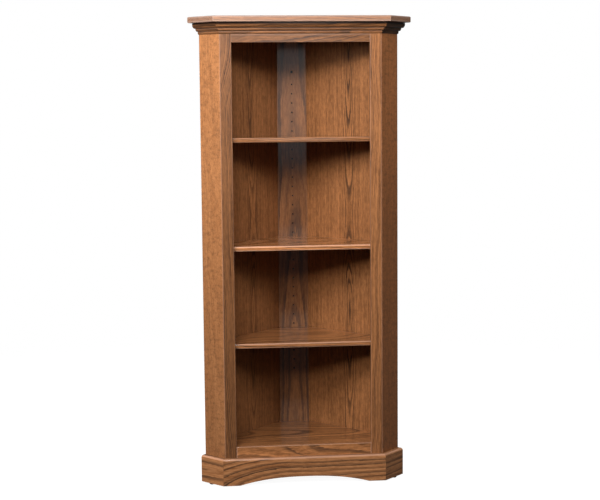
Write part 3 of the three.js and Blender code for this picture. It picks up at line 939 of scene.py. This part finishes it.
class CORNERUNIT_OT_top_board(bpy.types.Operator):
    """Lays the top board, with rounded edges, over the case"""

    bl_idname = "corner_unit.top_board"
    bl_label = "Top Board"

    def execute(self, context):
        clip = WALL_SUM - POST_BACK
        line = moulding_line(TOP_OVERHANG)
        outline = counter_clockwise(np.concatenate([line, [[clip, POST_BACK], [-clip, POST_BACK]]]))
        edge = sizes().top_edge
        rings, wear_and_painted_light = board_rings(outline, TOP_LOW.z, TOP_HIGH.z, edge, TOP_CORNER, TOP_SIDE_HIGHLIGHT)
        board = dict(
            tone=0.14,
            grain=FLAT,
            seed=1.3,
            middle=TOP_LOW.y,
            depth=TOP_HIGH.z,
            pith=(0.05, 0.05),
            spread=0.8,
            heart=0.4,
            contrast=1.2,
            even=0.5,
            # Its edges' pale, greyish look, front and sides alike, is painted highlight
            wear_and_painted_light_level=0.75,
            wear_and_highlight_tint=TOP_HIGHLIGHT_TINT,
            dull=0.16,
            coat=0.3,
            sheen=0.4,
        )
        make_from_rings("top_board", rings, wear_and_painted_light, oak("Top board oak", board))
        return {"FINISHED"}


class CORNERUNIT_OT_crown(bpy.types.Operator):
    """Runs the cornice, a crown moulding of three steps, round the top of the case"""

    bl_idname = "corner_unit.crown"
    bl_label = "Cornice"

    def execute(self, context):
        profile, wear_and_painted_light = crown_profile()
        for leg, (place, turn) in enumerate(MOULDING_TURNS.items()):
            board = dict(
                turn=turn,
                grain=LEVEL,
                middle=CROWN_LOW.z,
                seed=2.1 + leg,
                pith=(0.01, 0.06),
                rings=0.009,
                **CROWN_WOODS[place],
            )
            rings = moulding_rings(profile, leg, CROWN_LOW.z)
            make_from_rings(f"crown_{place}", rings, wear_and_painted_light, oak(f"Cornice oak {place}", board))
        return {"FINISHED"}


class CORNERUNIT_OT_base(bpy.types.Operator):
    """Runs the base moulding round the foot of the case, with an arch cut in the front"""

    bl_idname = "corner_unit.base"
    bl_label = "Base Moulding"

    def execute(self, context):
        profile, wear_and_painted_light = base_profile(BASE_HIGH.z - BASE_LOW.z)
        for leg, (place, turn) in enumerate(MOULDING_TURNS.items()):
            rings = moulding_rings(profile, leg, BASE_LOW.z, ARCH_STATIONS if place == "front" else 2)
            if place == "front":
                foot = rings[:, :3]
                foot[..., 2] += arch_height(foot[..., 0])
            board = dict(
                turn=turn,
                grain=LEVEL,
                tone=0.155,
                seed=5.4 + leg * 1.9,
                middle=BASE_LOW.z,
                depth=-BASE_DEPTH,
                growth=90.0,
                uneven=0.013,
                ragged=0.4,
                width=0.5,
                even=0.6,
                contrast=1.05,
                spread=0.6,
                tint=LIGHT_TINT,
                wear_and_painted_light_level=0.8,
            )
            material = oak(f"Base oak {place}", board | BASE_WOODS[place])
            make_from_rings(f"base_{place}", rings, wear_and_painted_light, material)
        return {"FINISHED"}


class CORNERUNIT_OT_face_frame(bpy.types.Operator):
    """Makes the two stiles and the two rails of the face frame"""

    bl_idname = "corner_unit.face_frame"
    bl_label = "Face Frame"

    def stile(self, name, side, ease):
        """An upright whose outer edge is mitred to its return."""
        inner = side * OPENING_HALF
        back_corner = side * (HALF_FRONT - BOARD * MITRE)
        outline = np.array([[inner, 0], [side * HALF_FRONT, 0], [back_corner, BOARD], [inner, BOARD]])
        rings, wear_and_painted_light = board_rings(counter_clockwise(outline), CASE_BOTTOM, CASE_TOP, ease, ease)
        board = dict(
            grain=UPRIGHT,
            seed=9.3 + side,
            pith=(side * -0.12, 0.05),
            middle=side * (HALF_FRONT + OPENING_HALF) / 2,
            rings=0.005,
            heart=0.45,
            # darkening towards its foot is painted shade
            foot=0.25,
            dark_tint=MAUVE_TINT,
            **STILE_WOODS[name],
        )
        make_from_rings(f"{name}_stile", rings, wear_and_painted_light, oak(f"{name.title()} stile oak", board))

    def rail(self, name, ease):
        """A cross piece, drawn flat and then stood up: its plan's second axis is height."""
        low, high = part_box(f"{name}_rail")
        middle = (low.z + high.z) / 2
        outline = np.array([[low.x, low.z], [high.x, low.z], [high.x, high.z], [low.x, high.z]])
        rings, wear_and_painted_light = board_rings(outline, 0, BOARD, ease, ease)
        board = dict(
            grain=LEVEL,
            pith=(0.05, 0.05),
            middle=middle,
            rings=0.011,
            spread=0.9,
            **RAIL_WOODS[name],
        )
        # The top rail's painted highlight on the strip just under the cornice
        if name == "top":
            board["rubbed_above"] = CROWN_LOW.z - middle - HIGHLIGHT_BELOW_CROWN
        make_from_rings(f"{name}_rail", rings[..., [0, 2, 1]], wear_and_painted_light, oak(f"{name.title()} rail oak", board))

    def execute(self, context):
        ease = sizes().ease
        for name, side in SIDES.items():
            self.stile(name, side, ease)
        for name in RAIL_WOODS:
            self.rail(name, ease)
        return {"FINISHED"}


def pin_holes():
    """Height, radius and depth of each shelf-pin hole in a column, from the top down."""
    heights = TOP_HOLE - HOLE_PITCH * np.arange(HOLE_COUNT)
    return [(float(height), HOLE_RADIUS, HOLE_DEPTH) for height in heights]


class CORNERUNIT_OT_returns(bpy.types.Operator):
    """Makes the two angled returns beside the face frame, with their columns of shelf-pin holes"""

    bl_idname = "corner_unit.returns"
    bl_label = "Returns"

    def execute(self, context):
        shoulder = RETURN_LENGTH - PANEL - GLUE_LINE
        mitre_gap = GLUE_LINE / math.cos(math.pi / 8)
        stops = [
            [mitre_gap, 0],
            [RETURN_LENGTH, 0],
            [RETURN_LENGTH, RABBET_COVER],
            [shoulder, RABBET_COVER],
            [shoulder, BOARD],
            [BOARD * MITRE + mitre_gap, BOARD],
        ]
        # The side of each outline that faces into the case
        inner_face = {"left": 0, "right": 4}
        for name, side in SIDES.items():
            outline = counter_clockwise(
                np.array([beside_return(side, back, inward) for back, inward in stops])
            )
            centre = np.array(beside_return(side, RETURN_HOLE_FROM_FRONT, BOARD))
            points, faces, wear_and_painted_light = drilled_upright(
                outline, inner_face[name], sizes().ease, centre, pin_holes()
            )
            board = dict(
                turn=LEFT_TURN if side < 0 else RIGHT_TURN,
                grain=UPRIGHT,
                seed=20.0 + side * 2.2,
                middle=HALF_FRONT * ROOT_HALF * side + side * RETURN_LENGTH / 2,
                pith=(0.16, 0.04),
                rings=0.0035,
                lean=0.01,
                dip=0.005,
                contrast=0.2,
                spread=0.55,
                heart=0.05,
                stripes=0.45,
                ticks=0.62,
                **RETURN_WOODS[name],
            )
            material = oak(f"{name.title()} return oak", board)
            make_piece(f"{name}_return", points, faces, wear_and_painted_light, material)
        return {"FINISHED"}


class CORNERUNIT_OT_post(bpy.types.Operator):
    """Makes the corner post with its column of shelf-pin holes and the hole for a wall screw"""

    bl_idname = "corner_unit.post"
    bl_label = "Corner Post"

    def execute(self, context):
        inside = PANEL_SUM - GLUE_LINE / ROOT_HALF
        outline = np.array(
            [
                [POST_FRONT - inside, POST_FRONT],
                [inside - POST_FRONT, POST_FRONT],
                [inside - POST_BACK, POST_BACK],
                [POST_BACK - inside, POST_BACK],
            ]
        )
        holes = pin_holes() + [(ANCHOR_HEIGHT, ANCHOR_RADIUS, HOLE_DEPTH)]
        points, faces, wear_and_painted_light = drilled_upright(outline, 0, sizes().ease, np.array([0, POST_FRONT]), holes)
        board = dict(
            grain=UPRIGHT,
            tone=0.091,
            seed=31.7,
            pith=(0.004, 0.03),
            depth=POST_LOW.y,
            lean=0.035,
            rings=0.016,
            width=0.6,
            growth=60.0,
            heart=0.6,
            contrast=1.15,
            dark_tint=GREY_TINT,
        )
        material = oak("Corner post oak", board)
        make_piece("corner_post", points, faces, wear_and_painted_light, material)
        return {"FINISHED"}


class CORNERUNIT_OT_shelves(bpy.types.Operator):
    """Makes the three adjustable shelves, each with a rounded front edge"""

    bl_idname = "corner_unit.shelves"
    bl_label = "Shelves"

    def execute(self, context):
        for order, (name, wood) in enumerate(SHELF_WOODS.items()):
            node = f"shelf_{name}"
            low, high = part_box(node)
            rings, wear_and_painted_light = shelf_rings(low.z, high.z, sizes().shelf_edge)
            board = dict(
                grain=FLAT,
                seed=41.0 + order * 3.3,
                pith=(0.05, 0.05),
                lean=0.05,
                rings=0.009,
                dull=-0.08,
                sheen=0.06,
                coat=1.0,
                **wood,
            )
            make_from_rings(node, rings, wear_and_painted_light, oak(f"{name.title()} shelf oak", board), f"{name}_shelf")
        return {"FINISHED"}


def paint(node, material):
    """Gives a CAD node a new material in every slot."""
    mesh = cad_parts[node].data
    for slot in range(len(mesh.materials)):
        mesh.materials[slot] = material
    if not mesh.materials:
        mesh.materials.append(material)


class CORNERUNIT_OT_panels(bpy.types.Operator):
    """Gives the back panels and the boards inside the case their veneers"""

    bl_idname = "corner_unit.panels"
    bl_label = "Panels"

    def execute(self, context):
        for name, wood in PANEL_WOODS.items():
            board = dict(
                grain=UPRIGHT,
                depth=PANEL_DEPTH,
                pith=(0.0, 0.0385),
                lean=-0.05,
                dive=(0.60, 1.10, 0.0525),
                dip=0.006,
                rings=0.007,
                width=0.5,
                even=0.7,
                focus=0.045,
                growth=70.0,
                spread=0.95,
                stripes=0.5,
                heart=0.14,
                ticks=0.25,
                dull=0.03,
                **wood,
            )
            paint(f"{name}_back_panel", oak(f"{name.title()} panel veneer", board))
        bottom = dict(
            tone=0.15,
            grain=FLAT,
            seed=61.0,
            pith=(0.03, 0.05),
            lean=0.05,
            rings=0.009,
            growth=80.0,
            contrast=1.1,
            spread=0.95,
            heart=0.5,
            even=0.6,
            # darker towards the back: painted shade
            back=0.35,
            dull=-0.08,
            sheen=0.06,
            coat=1.0,
        )
        paint("bottom_board", oak("Bottom board oak", bottom))
        paint("sub_top", oak("Sub-top oak", bottom | {"seed": 67.0}))
        return {"FINISHED"}


class CORNERUNIT_OT_hardware(bpy.types.Operator):
    """Finishes the cleats, dowels, screws, shelf pins and glides"""

    bl_idname = "corner_unit.hardware"
    bl_label = "Small Parts"

    def execute(self, context):
        pale = raw_wood("Raw softwood")
        by_part = {
            "cleat": pale,
            "dowel": pale,
            "screw": steel("Zinc-plated steel", linear(176, 172, 160), 2600.0),
            "pin_": steel("Nickel-plated steel", linear(196, 192, 184), 3400.0),
            "glide": plastic("Black nylon"),
        }
        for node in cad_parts:
            for part, material in by_part.items():
                if part in node:
                    paint(node, material)
        return {"FINISHED"}


def area_light(name, place, target, width, height, power, glossy):
    """A soft rectangular light that points at its target."""
    light = bpy.data.lights.new(name, "AREA")
    light.shape = "RECTANGLE"
    light.size = width
    light.size_y = height
    light.energy = power
    lamp = bpy.data.objects.new(name, light)
    lamp.location = place
    lamp.rotation_euler = (Vector(target) - Vector(place)).to_track_quat("-Z", "Y").to_euler()
    lamp.visible_glossy = glossy
    bpy.context.scene.collection.objects.link(lamp)


def camera_matrix():
    """The camera's axes: turned about the vertical, tipped down, then rolled about its line of sight."""
    right = Vector((math.cos(CAMERA_YAW), math.sin(CAMERA_YAW), 0))
    level = Vector((-math.sin(CAMERA_YAW), math.cos(CAMERA_YAW), 0))
    up = Vector((0, 0, 1))
    ahead = level * math.cos(CAMERA_PITCH) - up * math.sin(CAMERA_PITCH)
    above = level * math.sin(CAMERA_PITCH) + up * math.cos(CAMERA_PITCH)
    x_axis = right * math.cos(CAMERA_ROLL) - above * math.sin(CAMERA_ROLL)
    y_axis = right * math.sin(CAMERA_ROLL) + above * math.cos(CAMERA_ROLL)
    matrix = Matrix((x_axis, y_axis, -ahead)).transposed().to_4x4()
    matrix.translation = Vector(CAMERA_PLACE)
    return matrix


def pale_floor():
    """A round floor on rings and spokes, whose material fades out before its rim."""
    radii = np.array(FLOOR_RADII)[:, None]
    turns = np.linspace(0, 2 * np.pi, FLOOR_SPOKES + 1)[:-1]
    across = radii * np.cos(turns)
    rings = np.stack([across, radii * np.sin(turns), np.zeros(across.shape)], axis=-1)
    quads, caps = skin(rings)
    faces = quads[..., ::-1].reshape(-1, 4).tolist() + [caps[0][::-1]]
    mesh = bpy.data.meshes.new("Floor")
    mesh.from_pydata(rings.reshape(-1, 3).tolist(), [], faces)
    floor = bpy.data.objects.new("Floor", mesh)
    bpy.context.scene.collection.objects.link(floor)
    shader = Shader("Pale floor")
    place = shader.object_place()
    distance = shader.node("ShaderNodeVectorMath", {"operation": "LENGTH"}, {0: place}, output=1)
    sockets = {
        "Base Color": (0.2, 0.2, 0.2, 1),
        "Roughness": 0.9,
        "Emission Color": (1, 1, 1, 1),
        "Emission Strength": 0.95,
    }
    white = shader.principled(sockets)
    clear = shader.node("ShaderNodeBsdfTransparent")
    faded = shader.node("ShaderNodeMixShader", None, {0: distance.ramp(*FLOOR_FADE), 1: white, 2: clear})
    mesh.materials.append(shader.surface(faded))
    floor.visible_diffuse = False
    floor.visible_glossy = False


def white_room(strength, gloss):
    """A plain white background, whose light on the unit, and in its gloss, is kept low."""
    world = bpy.data.worlds.new("Studio")
    bpy.context.scene.world = world
    world.use_nodes = True
    nodes, links = world.node_tree.nodes, world.node_tree.links
    nodes.clear()
    path = nodes.new("ShaderNodeLightPath")
    background = nodes.new("ShaderNodeBackground")
    background.inputs["Color"].default_value = (1, 1, 1, 1)
    output = nodes.new("ShaderNodeOutputWorld")
    level = None
    for ray, seen in (("Is Glossy Ray", gloss), ("Is Camera Ray", 1.0)):
        choice = nodes.new("ShaderNodeMapRange")
        choice.inputs["To Min"].default_value = strength
        choice.inputs["To Max"].default_value = seen
        links.new(path.outputs[ray], choice.inputs["Value"])
        if level:
            links.new(level, choice.inputs["To Min"])
        level = choice.outputs[0]
    links.new(level, background.inputs["Strength"])
    links.new(background.outputs[0], output.inputs["Surface"])


class CORNERUNIT_OT_stage(bpy.types.Operator):
    """Sets up the pale floor, the soft studio lights and the camera"""

    bl_idname = "corner_unit.stage"
    bl_label = "Studio"

    def execute(self, context):
        strengths = context.scene.corner_unit_light
        pale_floor()
        white_room(strengths.room, strengths.gloss)
        for name, (strength, place, target, width, height, glossy) in LIGHTS.items():
            power = getattr(strengths, strength)
            area_light(name, place, target, width, height, power, glossy)
        camera = bpy.data.cameras.new("Camera")
        camera.sensor_width = CAMERA_SENSOR
        camera.lens = CAMERA_LENS
        camera.shift_y = CAMERA_SHIFT
        viewer = bpy.data.objects.new("Camera", camera)
        viewer.matrix_world = camera_matrix()
        context.scene.collection.objects.link(viewer)
        context.scene.camera = viewer
        context.scene.view_settings.view_transform = "Standard"
        return {"FINISHED"}


OPERATORS = (
    CORNERUNIT_OT_stage,
    CORNERUNIT_OT_top_board,
    CORNERUNIT_OT_crown,
    CORNERUNIT_OT_face_frame,
    CORNERUNIT_OT_returns,
    CORNERUNIT_OT_post,
    CORNERUNIT_OT_shelves,
    CORNERUNIT_OT_base,
    CORNERUNIT_OT_panels,
    CORNERUNIT_OT_hardware,
)


class CORNERUNIT_PT_main(bpy.types.Panel):
    """Lists the unit's pieces in the sidebar"""

    bl_idname = "CORNERUNIT_PT_main"
    bl_label = "Corner Shelf Unit"
    bl_space_type = "VIEW_3D"
    bl_region_type = "UI"
    bl_category = "Corner Unit"

    def draw(self, context):
        for group in (context.scene.corner_unit_sizes, context.scene.corner_unit_light):
            for name in group.bl_rna.properties.keys():
                if name not in ("rna_type", "name"):
                    self.layout.prop(group, name)
        for operator in OPERATORS:
            self.layout.operator(operator.bl_idname)


CLASSES = (UnitSizes, UnitLight, *OPERATORS, CORNERUNIT_PT_main)


def register():
    for made in CLASSES:
        bpy.utils.register_class(made)
    bpy.types.Scene.corner_unit_sizes = PointerProperty(type=UnitSizes)
    bpy.types.Scene.corner_unit_light = PointerProperty(type=UnitLight)


def unregister():
    del bpy.types.Scene.corner_unit_light
    del bpy.types.Scene.corner_unit_sizes
    for made in reversed(CLASSES):
        bpy.utils.unregister_class(made)


def main():
    """Makes every piece and the studio."""
    register()
    for operator in OPERATORS:
        group, name = operator.bl_idname.split(".")
        getattr(getattr(bpy.ops, group), name)()


if __name__ == "__main__":
    main()
